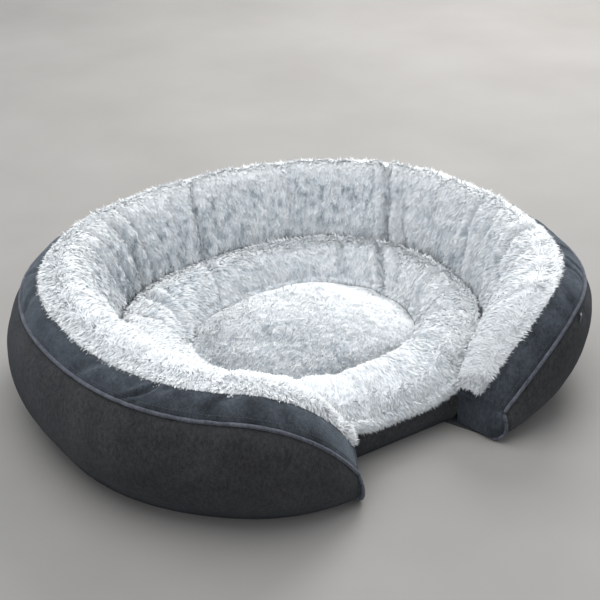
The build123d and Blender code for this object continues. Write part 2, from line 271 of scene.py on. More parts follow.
RING_FOLDS = (
    (220.0, 238.0, 0.00, 1.00, 0.008, 0.011),
    (211.0, 226.0, 0.15, 0.85, 0.008, 0.0035),
    (232.0, 250.0, 0.15, 0.90, 0.007, 0.004),
    (190.0, 203.0, 0.00, 0.95, 0.007, 0.008),
    (199.0, 214.0, 0.20, 0.80, 0.008, 0.0030),
    (172.0, 178.0, 0.15, 0.75, 0.009, 0.0025),
    (155.0, 160.0, 0.10, 0.60, 0.009, 0.0025),
    (136.0, 130.0, 0.00, 0.90, 0.006, 0.006),
    (122.0, 109.0, 0.00, 1.00, 0.007, 0.012),
    (116.0, 103.0, 0.20, 0.80, 0.006, 0.0030),
    (102.0, 92.0, 0.20, 0.80, 0.008, 0.0030),
    (93.0, 82.0, 0.00, 1.00, 0.007, 0.009),
    (78.0, 72.0, 0.05, 0.80, 0.007, 0.005),
    (62.0, 66.0, 0.00, 1.00, 0.008, 0.010),
    (46.0, 52.0, 0.10, 0.95, 0.007, 0.005),
    (30.0, 42.0, 0.10, 0.80, 0.007, 0.004),
    (8.0, 12.0, 0.25, 0.80, 0.008, 0.003),
    (345.0, 338.0, 0.20, 0.90, 0.008, 0.004),
    (322.0, 316.0, 0.10, 0.90, 0.008, 0.005),
    (300.0, 302.0, 0.05, 0.95, 0.008, 0.004),
    (272.0, 276.0, 0.10, 0.95, 0.008, 0.005),
)
BAND_FOLDS = (
    (275.0, 281.0, 0.0, 1.0, 0.010, 0.0025),
    (287.0, 294.0, 0.0, 1.0, 0.005, 0.0050),
    (291.0, 298.0, 0.0, 1.0, 0.009, 0.0020),
    (306.0, 310.0, 0.0, 1.0, 0.010, 0.0025),
    (321.0, 318.0, 0.0, 1.0, 0.008, 0.0025),
    (251.0, 247.0, 0.0, 1.0, 0.008, 0.0030),
    (236.0, 239.0, 0.0, 1.0, 0.007, 0.0025),
    (52.0, 57.0, 0.0, 1.0, 0.004, 0.0030),
    (57.0, 62.0, 0.0, 1.0, 0.004, 0.0035),
    (62.0, 66.0, 0.0, 1.0, 0.004, 0.0030),
    (43.0, 47.0, 0.0, 1.0, 0.007, 0.0020),
    (75.0, 80.0, 0.0, 1.0, 0.008, 0.0020),
    (98.0, 101.0, 0.0, 1.0, 0.008, 0.0020),
    (150.0, 146.0, 0.0, 1.0, 0.009, 0.0020),
    (196.0, 199.0, 0.0, 1.0, 0.009, 0.0020),
)


# Degrees by which the middle of a fold may bow to one side
FOLD_BOW = 1.8


def fold_depth(folds, turn, share, points):
    """How far the folds sink each point of a grid, with a soft ridge beside each valley."""
    radius = np.hypot(points[..., 0], points[..., 1] - HUB_Y)
    sunk = np.zeros(points.shape[:2])
    for outer, inner, first, last, half_width, depth in folds:
        wander = 0.5 * half_width * noise(points, 0.04, int(outer * 10))
        bow = FOLD_BOW * math.sin(outer * 12.9898) * np.sin(np.pi * share)[None, :]
        line = outer + (inner - outer) * share[None, :] + bow
        across = np.radians(turn[:, None] - line) * radius + wander
        reach = smooth((share - first + 0.08) / 0.16) * smooth((last + 0.08 - share) / 0.16)
        valley = np.exp(-((across / half_width) ** 2))
        ridges = np.exp(-(((np.abs(across) - 2.1 * half_width) / (1.2 * half_width)) ** 2))
        sunk += depth * reach[None, :] * (valley - 0.35 * ridges)
    return sunk


# ---- Skins: displaced grids shared by the fabric, its fur and its seams ----

COLUMNS = 1000
WALL_ROWS, BAND_ROWS, PLUSH_ROWS = 40, 16, 78
PILE_ROOM, BOLSTER_FOLD_SCALE, RING_FOLD_SCALE = 0.0035, 0.95, 0.80
RING_COLUMNS, RING_ROWS = 760, 62
DOME_COLUMNS, DOME_ROWS = 420, 66


def skin(points, closed):
    return {"points": points, "normals": grid_normals(points, closed), "closed": closed}


def with_folds(sheet, sunk):
    """Keeps how deep the folds are, so that the pile can be darkened in them as painted shade."""
    sheet["sunk"] = sunk
    return sheet


def section_grid(marks_at, start, end, turn, share):
    """The plain surface between two marks, a column for each turn and a row for each share."""
    section = curve_rows(marks_at(folded(turn)), start, end, share)
    return in_space(turn[:, None], section[..., 0], section[..., 1])


def pucker(share, edge_share, depth):
    """Sinks a fabric into the seam at either end of its rows."""
    return depth * (np.exp(-share / edge_share) + np.exp(-(1.0 - share) / edge_share))


def displaced(points, closed, height):
    """A skin pushed out along its normals by a height at each point."""
    return skin(points + grid_normals(points, closed) * height[..., None], closed)


def wall_skin(turn):
    share = np.linspace(0.0, 1.0, WALL_ROWS)
    points = section_grid(bolster_marks, 0, 2, turn, share)
    height = 0.0022 * noise(points, (0.11, 0.11, 0.20), 3) + 0.0010 * noise(points, (0.03, 0.03, 0.10), 4)
    near_seam = np.exp(-(1.0 - share) / 0.12)
    ripple = 0.0011 * noise(points, (0.012, 0.012, 0.06), 5)
    slack = 0.0016 * noise(points, (0.09, 0.09, 0.018), 6) * np.exp(-share / 0.25)
    height = height * smooth((1.0 - share) / 0.2) + ripple * near_seam + slack * smooth(share / 0.08)
    height = height * smooth(share / 0.06) - 0.0012 * np.exp(-(1.0 - share) / 0.02)
    return displaced(points, False, height)


def band_skin(turn):
    share = np.linspace(0.0, 1.0, BAND_ROWS)
    points = section_grid(bolster_marks, 2, 3, turn, share)
    tip_fade = smooth((folded(turn) - TIP) / 14.0)[:, None]
    height = 0.0016 * noise(points, 0.07, 7) + 0.0008 * noise(points, 0.022, 8)
    height = height - fold_depth(BAND_FOLDS, turn, share, points)
    height = height * smooth(share / 0.25) * smooth((1.0 - share) / 0.2)
    height = height * (0.3 + 0.7 * tip_fade) + 0.0035 * np.sin(np.pi * share)[None, :] * tip_fade
    height = height - 0.0012 * np.exp(-share / 0.05)
    return displaced(points, False, height)


def bolster_skin(turn):
    share = np.linspace(0.0, 1.0, PLUSH_ROWS)
    points = section_grid(bolster_marks, 3, 6, turn, share)
    tip_fade = smooth((folded(turn) - TIP + 2.0) / 22.0)[:, None]
    height = 0.0055 * noise(points, 0.09, 9) + 0.0026 * noise(points, (0.03, 0.03, 0.05), 10) - PILE_ROOM
    height = height + 0.0014 * noise(points, 0.011, 11)
    sunk = BOLSTER_FOLD_SCALE * fold_depth(BOLSTER_FOLDS, turn, share, points)
    height = height - sunk
    near_seams = np.exp(-(1.0 - share) / 0.15) + np.exp(-share / 0.08)
    gathers = 0.0020 * noise(points, (0.010, 0.010, 0.05), 12) * near_seams
    height = (height + gathers) * smooth(share / 0.10) * tip_fade - pucker(share, 0.03, 0.003)
    return with_folds(displaced(points, False, height), sunk)


def ring_skin(turn):
    share = np.linspace(0.0, 1.0, RING_ROWS)
    points = section_grid(ring_marks, 0, 4, turn, share)
    height = 0.0040 * noise(points, 0.07, 13) + 0.0020 * noise(points, 0.028, 14)
    height = height + 0.0011 * noise(points, 0.010, 15)
    sunk = RING_FOLD_SCALE * fold_depth(RING_FOLDS, turn, share, points)
    height = height - sunk - PILE_ROOM
    height = height * smooth(share / 0.1) * smooth((1.0 - share) / 0.08) - pucker(share, 0.03, 0.003)
    return with_folds(displaced(points, True, height), sunk)


def dome_skin(turn):
    share = np.linspace(0.0, 0.985, DOME_ROWS)
    radius = (centre_radius(folded(turn)) - SEAM_GAP)[:, None] * (1.0 - share)[None, :]
    flat = in_space(turn[:, None], radius, np.zeros((len(turn), len(share))))
    away = np.hypot(flat[..., 0], flat[..., 1] - HUB_Y - CENTRE_MIDDLE)
    height = DOME_TOP - DOME_RADIUS + np.sqrt(DOME_RADIUS**2 - away**2)
    at_seam = np.exp(-share / 0.045)
    height = (height + 0.004 * smooth(share / 0.25)) * (1.0 - at_seam)
    height = height + (CENTRE_EDGE_HEIGHT - 0.004) * at_seam
    height = height + smooth(share / 0.1) * (0.0030 * noise(flat, 0.08, 16) + 0.0014 * noise(flat, 0.028, 17))
    height = height + 0.0008 * noise(flat, 0.009, 18)
    rays = noise(np.stack([turn[:, None] / 9.0 + 0.0 * share, 0.0 * radius, 0.0 * radius], -1), 1.0, 19)
    height = height + 0.0022 * rays * np.exp(-share / 0.12)
    flat[..., 2] = height
    return with_folds(skin(flat, True), 0.0 * radius)


bolster_turns = even_turns(TIP, 360.0 - TIP, COLUMNS, lambda a: wall_radius(a) - along(CREST_INSET, a))
ring_turns = even_turns(
    0.0, 360.0, RING_COLUMNS + 1, lambda a: (crease_radius(a) + centre_radius(a)) / 2.0
)[:-1]
dome_turns = even_turns(0.0, 360.0, DOME_COLUMNS + 1, centre_radius)[:-1]
wall = wall_skin(bolster_turns)
band = band_skin(bolster_turns)
bolster = bolster_skin(bolster_turns)
ring = ring_skin(ring_turns)
dome = dome_skin(dome_turns)

# ---- Materials ----


class Nodes:
    """A material's node tree with short calls to add and join nodes."""

    def __init__(self, name):
        self.material = bpy.data.materials.new(name)
        self.material.use_nodes = True
        self.tree = self.material.node_tree
        self.shader = self.tree.nodes["Principled BSDF"]

    def add(self, kind, settings=(), **inputs):
        node = self.tree.nodes.new(kind)
        for key, value in settings:
            setattr(node, key, value)
        for key, value in inputs.items():
            self.put(node.inputs[key.replace("_", " ")], value)
        return node

    def put(self, socket, value):
        if isinstance(value, bpy.types.NodeSocket):
            self.tree.links.new(value, socket)
        else:
            socket.default_value = value

    def set(self, **inputs):
        for key, value in inputs.items():
            self.put(self.shader.inputs[key.replace("_", " ")], value)

    def place(self, stretch=(1.0, 1.0, 1.0)):
        """The piece's own coordinates, stretched."""
        mapping = self.add("ShaderNodeMapping", Scale=stretch)
        self.put(mapping.inputs["Vector"], self.add("ShaderNodeTexCoord").outputs["Object"])
        return mapping.outputs["Vector"]

    def noise(self, scale, detail=2.0, stretch=(1.0, 1.0, 1.0), rough=0.5):
        place = self.place(stretch)
        node = self.add("ShaderNodeTexNoise", Vector=place, Scale=scale, Detail=detail, Roughness=rough)
        return node.outputs["Fac"]

    def ramp(self, factor, *stops):
        """Colours or greys along a factor, as (position, colour)."""
        node = self.add("ShaderNodeValToRGB", Fac=factor)
        elements = node.color_ramp.elements
        while len(elements) < len(stops):
            elements.new(0.5)
        for element, (position, colour) in zip(elements, stops):
            element.position = position
            element.color = (*colour, 1.0) if isinstance(colour, tuple) else (colour, colour, colour, 1.0)
        return node.outputs["Color"]

    def mix(self, factor, first, second, way="MIX"):
        node = self.add("ShaderNodeMix", (("data_type", "RGBA"), ("blend_type", way)))
        for socket, value in zip((node.inputs[0], node.inputs[6], node.inputs[7]), (factor, first, second)):
            value = (*value, 1.0) if isinstance(value, tuple) and len(value) == 3 else value
            self.put(socket, value)
        return node.outputs[2]

    def maths(self, way, first, second):
        node = self.add("ShaderNodeMath", (("operation", way),))
        self.put(node.inputs[0], first)
        self.put(node.inputs[1], second)
        return node.outputs[0]

    def bump(self, height, strength, distance):
        node = self.add("ShaderNodeBump", Strength=strength, Distance=distance, Height=height)
        self.put(self.shader.inputs["Normal"], node.outputs["Normal"])


def suede(name, dark, light, mottle, sheen):
    """Brushed faux suede: a fine felted nap, soft mottling where it has been stroked, and a dusty sheen."""
    cloth = Nodes(name)
    clouds = cloth.noise(mottle, 4.0, rough=0.6)
    strokes = cloth.noise(210.0, 3.0, (1.0, 1.0, 0.55), 0.75)
    nap = cloth.noise(900.0, 2.0, (1.0, 1.0, 0.45), 0.7)
    weave = cloth.add("ShaderNodeTexVoronoi", Vector=cloth.place(), Scale=1100.0).outputs["Distance"]
    tone = cloth.ramp(clouds, (0.34, dark), (0.68, light))
    brushed = cloth.maths("ADD", cloth.maths("MULTIPLY", strokes, 0.6), cloth.maths("MULTIPLY", nap, 0.4))
    grain = cloth.ramp(brushed, (0.36, 0.55), (0.64, 1.40))
    cloth.set(Base_Color=cloth.mix(0.9, tone, grain, "MULTIPLY"))
    cloth.set(Roughness=cloth.ramp(clouds, (0.3, 0.98), (0.7, 0.86)))
    pile = cloth.maths("ADD", nap, cloth.maths("MULTIPLY", strokes, 1.2))
    cloth.bump(cloth.maths("ADD", pile, cloth.maths("MULTIPLY", weave, 0.6)), 0.5, 0.0016)
    cloth.set(Sheen_Weight=sheen, Sheen_Roughness=0.45, Sheen_Tint=(0.62, 0.72, 0.85, 1.0))
    cloth.set(Specular_IOR_Level=0.06)
    return cloth.material


def plush_cloth(name):
    """The backing under the fur, grey where the pile parts."""
    cloth = Nodes(name)
    pile = cloth.noise(420.0, 3.0, (1.0, 1.0, 0.6), 0.65)
    patches = cloth.noise(26.0, 3.0)
    under = cloth.ramp(pile, (0.35, UNDERCOAT), (0.62, MIDCOAT))
    cloth.set(Base_Color=cloth.mix(cloth.ramp(patches, (0.42, 0.0), (0.62, 0.5)), under, MIDCOAT))
    cloth.set(Roughness=cloth.ramp(pile, (0.3, 1.0), (0.7, 0.86)), Specular_IOR_Level=0.15)
    cloth.set(Sheen_Weight=0.35, Sheen_Roughness=0.6, Sheen_Tint=(0.92, 0.96, 1.0, 1.0))
    cloth.bump(pile, 0.6, 0.003)
    return cloth.material


def fur_hair(name):
    """Frosted pile: grey at the root, near white at the tip, with strands of different tones."""
    hair = Nodes(name)
    tip = hair.add("ShaderNodeAttribute", (("attribute_name", "tip"),)).outputs["Fac"]
    tone = hair.add("ShaderNodeAttribute", (("attribute_name", "tone"),)).outputs["Fac"]
    coat = hair.ramp(tip, (0.0, UNDERCOAT), (0.45, MIDCOAT), (1.0, TOPCOAT))
    # Each strand's tone darkens its coat: its own random tone and grey roots, plus painted shade in folds and
    # on the faces turned from the light.
    shade = hair.ramp(tone, (0.0, (0.26, 0.30, 0.34)), (0.5, (0.72, 0.76, 0.79)), (1.0, (1.0, 1.0, 1.0)))
    hair.set(Base_Color=hair.mix(1.0, coat, shade, "MULTIPLY"))
    hair.set(Roughness=hair.ramp(tone, (0.0, 0.95), (1.0, 0.8)), Specular_IOR_Level=0.12)
    hair.set(Sheen_Weight=0.25, Sheen_Roughness=0.55)
    return hair.material


def thread_material(name, dark, light):
    """Twisted sewing thread: bands round the strand and a slight gloss."""
    thread = Nodes(name)
    twist = thread.noise(2600.0, 2.0, (1.0, 1.0, 0.5))
    thread.set(Base_Color=thread.ramp(twist, (0.35, dark), (0.65, light)))
    thread.set(Roughness=thread.ramp(twist, (0.3, 0.72), (0.7, 0.5)), Sheen_Weight=0.2)
    thread.bump(twist, 0.4, 0.0004)
    return thread.material


def felt(name, dark, light, scale):
    """Pressed fibres, for the base cloth and the wadding."""
    cloth = Nodes(name)
    fibres = cloth.noise(scale, 4.0, (1.0, 0.35, 1.0), 0.7)
    specks = cloth.noise(scale * 0.1, 2.0)
    tone = cloth.ramp(fibres, (0.3, dark), (0.7, light))
    cloth.set(Base_Color=cloth.mix(0.5, tone, cloth.ramp(specks, (0.3, 0.75), (0.7, 1.0)), "MULTIPLY"))
    cloth.set(Roughness=cloth.ramp(fibres, (0.3, 0.98), (0.7, 0.85)), Sheen_Weight=0.15)
    cloth.bump(fibres, 0.4, 0.001)
    return cloth.material


UNDERCOAT = (0.640, 0.660, 0.680)
MIDCOAT = (0.840, 0.855, 0.865)
TOPCOAT = (0.880, 0.890, 0.895)
wall_suede = suede("charcoal_suede_wall", (0.037, 0.037, 0.038), (0.055, 0.055, 0.056), 14.0, 0.08)
# The band is cut from the wall's fabric; its bluer, lighter mottling is painted sky light on the
# upward-facing band.
skylight_painted_band_suede = suede("charcoal_suede_with_painted_skylight", (0.029, 0.033, 0.039), (0.062, 0.071, 0.083), 26.0, 0.28)
piping_suede = suede("piping_suede_strip", (0.075, 0.077, 0.092), (0.120, 0.123, 0.143), 60.0, 0.25)
plush_backing = plush_cloth("plush_backing")
plush_pile = fur_hair("plush_pile")
dark_thread = thread_material("dark_sewing_thread", (0.030, 0.034, 0.042), (0.075, 0.083, 0.098))
pale_thread = thread_material("pale_sewing_thread", (0.42, 0.45, 0.48), (0.66, 0.69, 0.72))
base_felt = felt("base_cloth_felt", (0.020, 0.021, 0.024), (0.050, 0.053, 0.060), 700.0)
wadding_felt = felt("wadding_felt", (0.55, 0.55, 0.53), (0.82, 0.82, 0.80), 500.0)
tag_cloth = felt("tag_cloth", (0.10, 0.105, 0.115), (0.22, 0.23, 0.25), 1500.0)

# ---- Meshes ----


def new_piece(name, points, faces, material, attributes=()):
    """A smooth-shaded mesh piece from points and arrays of faces of one size each, riding on the bed."""
    mesh = bpy.data.meshes.new(name)
    points = np.asarray(points, np.float32).reshape(-1, 3)
    mesh.vertices.add(len(points))
    mesh.vertices.foreach_set("co", points.ravel())
    corners = np.concatenate([f.ravel() for f in faces]).astype(np.int32)
    sizes = np.concatenate([np.full(len(f), f.shape[1]) for f in faces])
    starts = np.concatenate([[0], np.cumsum(sizes)[:-1]]).astype(np.int32)
    mesh.loops.add(len(corners))
    mesh.polygons.add(len(sizes))
    mesh.polygons.foreach_set("loop_start", starts)
    mesh.polygons.foreach_set("vertices", corners)
    for key, values in attributes:
        attribute = mesh.attributes.new(key, "FLOAT", "POINT")
        attribute.data.foreach_set("value", np.asarray(values, np.float32).ravel())
    mesh.update(calc_edges=True)
    mesh.shade_smooth()
    mesh.materials.append(material)
    piece = bpy.data.objects.new(name, mesh)
    bpy.context.scene.collection.objects.link(piece)
    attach(piece, "root")
    return piece


def grid_faces(columns, rows, closed, offset=0):
    """Quads over a grid of points, turned to face outwards."""
    across = np.arange(columns if closed else columns - 1)
    up = np.arange(rows - 1)
    a, r = np.meshgrid(across, up, indexing="ij")
    b = (a + 1) % columns
    quads = np.stack([a * rows + r, b * rows + r, b * rows + r + 1, a * rows + r + 1], axis=-1)
    return quads.reshape(-1, 4) + offset


def tucked(sheet, depth, first_drop=0.0, last_drop=0.0):
    """The grid with a row turned in at each edge, or let down into the seam, to give a panel thickness."""
    points, normals = sheet["points"], sheet["normals"]
    down = np.array([0.0, 0.0, 1.0])
    first = points[:, :1] - (down * first_drop if first_drop else normals[:, :1] * depth)
    last = points[:, -1:] - (down * last_drop if last_drop else normals[:, -1:] * depth)
    return np.concatenate([first, points, last], axis=1)


def panel(name, sheet, depth, material, first_drop=0.0, last_drop=0.0):
    points = tucked(sheet, depth, first_drop, last_drop)
    faces = grid_faces(points.shape[0], points.shape[1], sheet["closed"])
    return new_piece(name, points, [faces], material)


# ---- Outer wall ----

outer_wall = panel("outer_wall", wall, 0.003, wall_suede)
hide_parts("outer_wall_panel")

# ---- Upper band, with a rounded face closing each arm's end ----


def end_face(column):
    """A cushion-like cap over an arm's end, from the edge of the skins in to its middle."""
    rows = [wall["points"][column], band["points"][column][1:], bolster["points"][column][1:]]
    edge = np.concatenate(rows, axis=0)
    side = np.array([bolster["points"][column][-1], wall["points"][column][0]])
    corner = np.array([side[0][0] * 1.04, side[0][1], SKIN_FOOT])
    down = np.linspace(side[0], corner, 12)[1:]
    under = np.linspace(corner, side[1], 10)[1:-1]
    outline = np.concatenate([edge, down, under], axis=0)
    middle = outline.mean(axis=0)
    inward = 1 if column == 0 else -1
    turn = np.radians(bolster_turns[column])
    forward = -np.array([np.cos(turn), np.sin(turn), 0.0]) * inward
    from_hub = np.hypot(outline[:, 0], outline[:, 1] - HUB_Y)
    rings = []
    for step in np.linspace(0.0, 1.0, 16):
        scale = np.cos(step * np.pi / 2.0) ** 0.8 if step < 1.0 else 0.0
        ring_points = middle + (outline - middle) * scale
        across = np.hypot(ring_points[:, 0], ring_points[:, 1] - HUB_Y)
        outer_share = smooth((across - from_hub.min()) / (0.75 * (from_hub.max() - from_hub.min())))
        below_top = 0.25 + 0.75 * smooth((outline[:, 2].max() - ring_points[:, 2] - 0.02) / 0.06)
        out = 0.015 * np.sin(step * np.pi / 2.0) ** 0.7 * outer_share * below_top
        ring_points = ring_points + forward * out[:, None]
        wrinkle = 0.0012 * noise(ring_points, 0.018, 21) + 0.0018 * noise(ring_points, 0.04, 22)
        rings.append(ring_points + forward * (wrinkle * smooth(step / 0.3) * (1.0 - step * 0.5))[:, None])
    points = np.stack(rings, axis=1)
    if inward < 0:
        points = points[::-1]
    return points[:, :-1], points[:, -1].mean(axis=0)


def band_with_ends():
    points = tucked(band, 0.003)
    faces = [grid_faces(points.shape[0], points.shape[1], False)]
    stack, tris, offset = [points.reshape(-1, 3)], [], points.shape[0] * points.shape[1]
    for column in (0, -1):
        cap, middle = end_face(column)
        count, rings = cap.shape[:2]
        faces.append(grid_faces(count, rings, True, offset)[:, ::-1])
        last = offset + np.arange(count) * rings + rings - 1
        centre = np.full(count, offset + count * rings)
        tris.append(np.stack([np.roll(last, -1), last, centre], axis=1))
        stack.append(np.concatenate([cap.reshape(-1, 3), middle[None]]))
        offset += count * rings + 1
    return np.concatenate(stack), faces + tris


band_points, band_faces = band_with_ends()
upper_band = new_piece("upper_band", band_points, band_faces, skylight_painted_band_suede)
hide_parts("upper_band_panel")

# ---- Plush bolster, ring and centre ----

bolster_plush = panel("bolster_plush", bolster, 0.004, plush_backing, 0.0, 0.030)
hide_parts("bolster_plush_panel", "bolster_fill")

ring_plush = panel("ring_plush", ring, 0.004, plush_backing, 0.030, 0.025)
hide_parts("inner_ring_plush_panel", "inner_ring_fill")


def dome_piece():
    points = dome["points"]
    columns = points.shape[0]
    under = points[:, :1] - np.array([0.0, 0.0, 0.025])
    points = np.concatenate([under, points], axis=1)
    rows = points.shape[1]
    last = np.arange(columns) * rows + rows - 1
    top = points[:, -1].mean(axis=0)
    closing = np.stack([last, np.roll(last, -1), np.full(columns, columns * rows)], axis=1)
    stacked = np.concatenate([points.reshape(-1, 3), top[None]])
    faces = [grid_faces(columns, rows, True), closing]
    return new_piece("centre_plush", stacked, faces, plush_backing)


centre_plush = dome_piece()
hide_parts("centre_plush_panel", "centre_fill")

# ---- Gusset: the fabric front across the entrance ----


def gusset_piece():
    low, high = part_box("front_gusset")
    across = np.linspace(low.x - 0.016, high.x + 0.016, 150)
    up = np.linspace(0.0, 1.0, 22)
    x, share = np.meshgrid(across, up, indexing="ij")
    bulge = np.sin(np.pi * share)
    past_end = np.clip((np.abs(x) - high.x + 0.010) / 0.026, 0.0, 1.0)
    y = HUB_Y - 0.217 - 0.012 * share - 0.006 * bulge - 0.004 * past_end**2
    z = low.z + (high.z - low.z) * share
    points = np.stack([x, y, z], axis=-1)
    ripples = 0.0012 * noise(points, (0.02, 0.02, 0.05), 23) + 0.0018 * noise(points, (0.06, 0.06, 0.03), 24)
    points[..., 1] += ripples * smooth(share / 0.15)
    sheet = skin(points, False)
    return panel("front_gusset_cloth", sheet, 0.003, wall_suede)


gusset = gusset_piece()
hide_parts("front_gusset")

# ---- Piping: the covered cord along the top of the wall and down the arms' end seams ----


def tube(name, path, radius, sides, material, wobble=0.0):
    """A round tube along an open path, closed at its ends."""
    ahead = unit(np.gradient(path, axis=0))
    up = np.array([0.0, 0.0, 1.0])
    across = unit(np.cross(ahead, np.where(np.abs(ahead[:, 2:]) > 0.9, np.array([1.0, 0.0, 0.0]), up)))
    over = np.cross(across, ahead)
    turn = np.linspace(0.0, 2.0 * np.pi, sides, endpoint=False)
    swell = radius * (1.0 + wobble * noise(path, 0.006, 25))
    ring_points = across[:, None] * np.cos(turn)[None, :, None] + over[:, None] * np.sin(turn)[None, :, None]
    points = path[:, None] + ring_points * swell[:, None, None]
    count = len(path)
    i, k = np.meshgrid(np.arange(count - 1), np.arange(sides), indexing="ij")
    n = (k + 1) % sides
    quads = np.stack([i * sides + k, i * sides + n, (i + 1) * sides + n, (i + 1) * sides + k], axis=-1)
    quads = quads.reshape(-1, 4)
    ends = [np.arange(sides)[None, ::-1], (np.arange(sides) + (count - 1) * sides)[None]]
    return new_piece(name, points, [quads[:, ::-1]] + ends, material)


def even_path(path, spacing):
    length = np.concatenate([[0.0], np.cumsum(np.linalg.norm(np.diff(path, axis=0), axis=1))])
    wanted = np.linspace(0.0, length[-1], int(length[-1] / spacing) + 1)
    return np.stack([np.interp(wanted, length, path[:, k]) for k in range(3)], axis=1)


# How far the end seams stand forward of the wall, so that they show beside the end faces
END_SEAM_SHIFT = 0.005


def piping_path():
    outwards = unit(band["normals"][:, 1] + wall["normals"][:, -2])
    top = band["points"][:, 0] + outwards * PIPING_RADIUS * 0.8
    ends = []
    for column, inward in ((0, 1), (-1, -1)):
        turn = np.radians(bolster_turns[column])
        forward = -np.array([[np.cos(turn), np.sin(turn), 0.0]]) * inward
        down = wall["points"][column][::-1] + wall["normals"][column][::-1] * PIPING_RADIUS * 0.6
        down = down + forward * (END_SEAM_SHIFT * smooth(np.linspace(0.0, 2.5, len(down))))[:, None]
        ends.append(down[2:])
    path = np.concatenate([ends[0][::-1], top, ends[1]])
    path[:, 2] = np.maximum(path[:, 2], PIPING_RADIUS + 0.0002)
    smoothed = even_path(path, 0.0025)
    for _ in range(6):
        smoothed[1:-1] = (smoothed[:-2] + 2.0 * smoothed[1:-1] + smoothed[2:]) / 4.0
    return smoothed


piping_line = piping_path()
piping = tube("piping", piping_line, PIPING_RADIUS, 12, piping_suede, 0.10)
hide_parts("piping_cover", "piping_cord")

# ---- Stitches ----


STITCH_GRAIN = 0.001


def stitches(name, path, lift, length, gap, radius, material, *nodes):
    """A row of short rounded stitches along a path, lifted off the cloth."""
    line = even_path(path, STITCH_GRAIN)
    step = int(round((length + gap) / STITCH_GRAIN))
    span = int(round(length / STITCH_GRAIN))
    starts = np.arange(0, len(line) - span - 1, step)
    sides = 6
    along_way = np.array([0.0, 0.12, 0.5, 0.88, 1.0])
    swell = np.array([0.35, 0.9, 1.0, 0.9, 0.35])
    arch = np.array([-0.6, 0.1, 0.35, 0.1, -0.6])
    first, last = line[starts], line[starts + span]
    ahead = unit(last - first)
    up = np.array([0.0, 0.0, 1.0])
    across = unit(np.cross(ahead, up))
    over = np.cross(across, ahead)
    turn = np.linspace(0.0, 2.0 * np.pi, sides, endpoint=False)
    rings = []
    for share, fat, high in zip(along_way, swell, arch):
        middle = first + (last - first) * share + over * (lift + radius * high)
        circle = across[:, None] * np.cos(turn)[None, :, None] + over[:, None] * np.sin(turn)[None, :, None]
        rings.append(middle[:, None] + circle * radius * fat)
    points = np.stack(rings, axis=1)
    block = points.shape[1] * sides
    quads = []
    for i in range(len(along_way) - 1):
        for k in range(sides):
            n = (k + 1) % sides
            quads.append((i * sides + k, (i + 1) * sides + k, (i + 1) * sides + n, i * sides + n))
    base = np.arange(len(starts)) * block
    faces = base[:, None, None] + np.array(quads)[None]
    caps = [tuple(range(sides)), tuple(range(block - 1, block - 1 - sides, -1))]
    ends = base[:, None, None] + np.array(caps)[None]
    all_faces = [faces.reshape(-1, 4), ends.reshape(-1, sides)]
    piece = new_piece(name, points, all_faces, material)
    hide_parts(*nodes)
    return piece


above_piping = band["points"][:, 3] + band["normals"][:, 3] * 0.0002
plush_edge, crease = band["points"][:, -2], bolster["points"][:, -1]
centre_seam = np.concatenate([ring["points"][:, -1], ring["points"][:1, -1]])
# (lift, length, gap, radius) of a stitch
PIPING_STITCH = (0.0002, 0.0032, 0.0016, 0.0004)
EDGE_STITCH = (0.0003, 0.004, 0.002, 0.0006)
HIDDEN_STITCH = (0.0, 0.005, 0.002, 0.0007)
stitches("piping_stitches", above_piping, *PIPING_STITCH, dark_thread)
stitches("plush_edge_stitches", plush_edge, *EDGE_STITCH, dark_thread, "plush_seam_thread")
stitches("crease_stitches", crease, *HIDDEN_STITCH, pale_thread, "crease_seam_thread")
stitches("centre_stitches", centre_seam, *HIDDEN_STITCH, pale_thread, "centre_seam_thread")

# ---- Fur: tapered tufts rooted on the plush ----


def bilinear(values, column, row, closed):
    """Values of a grid at fractional columns and rows."""
    columns, rows = values.shape[:2]
    a, r = np.floor(column).astype(int), np.minimum(np.floor(row).astype(int), rows - 2)
    b = (a + 1) % columns if closed else np.minimum(a + 1, columns - 1)
    u, v = (column - a), (row - r)
    if values.ndim == 3:
        u, v = u[:, None], v[:, None]
    low = values[a, r] * (1 - u) + values[b, r] * u
    return low * (1 - v) + (values[a, r + 1] * (1 - u) + values[b, r + 1] * u) * v


def scatter(sheet, count, rng, rows_from=0, rows_to=None):
    """Fractional columns and rows spread evenly over a grid's area, and where they fall."""
    points = sheet["points"]
    rows_to = points.shape[1] - 1 if rows_to is None else rows_to
    after = np.roll(points, -1, axis=0) if sheet["closed"] else points[1:]
    before = points if sheet["closed"] else points[:-1]
    side = np.linalg.norm(after[:, :-1] - before[:, :-1], axis=2)
    rise_way = np.linalg.norm(before[:, 1:] - before[:, :-1], axis=2)
    area = (side * rise_way)[:, rows_from:rows_to]
    picked = rng.choice(area.size, count, p=area.ravel() / area.sum())
    column = picked // area.shape[1] + rng.random(count)
    row = rows_from + picked % area.shape[1] + rng.random(count)
    return column, row


FUR = 1.0
# (length, width) of a strand on the open pile, on the centre, along the edges and in the seams
PILE_SIZE, CENTRE_SIZE = (0.0095, 0.0016), (0.0085, 0.0014)
EDGE_SIZE, SEAM_SIZE = (0.0100, 0.0017), (0.0110, 0.0019)
# How far a strand's normal strays from that of the cloth under it
SOFTNESS = 0.22


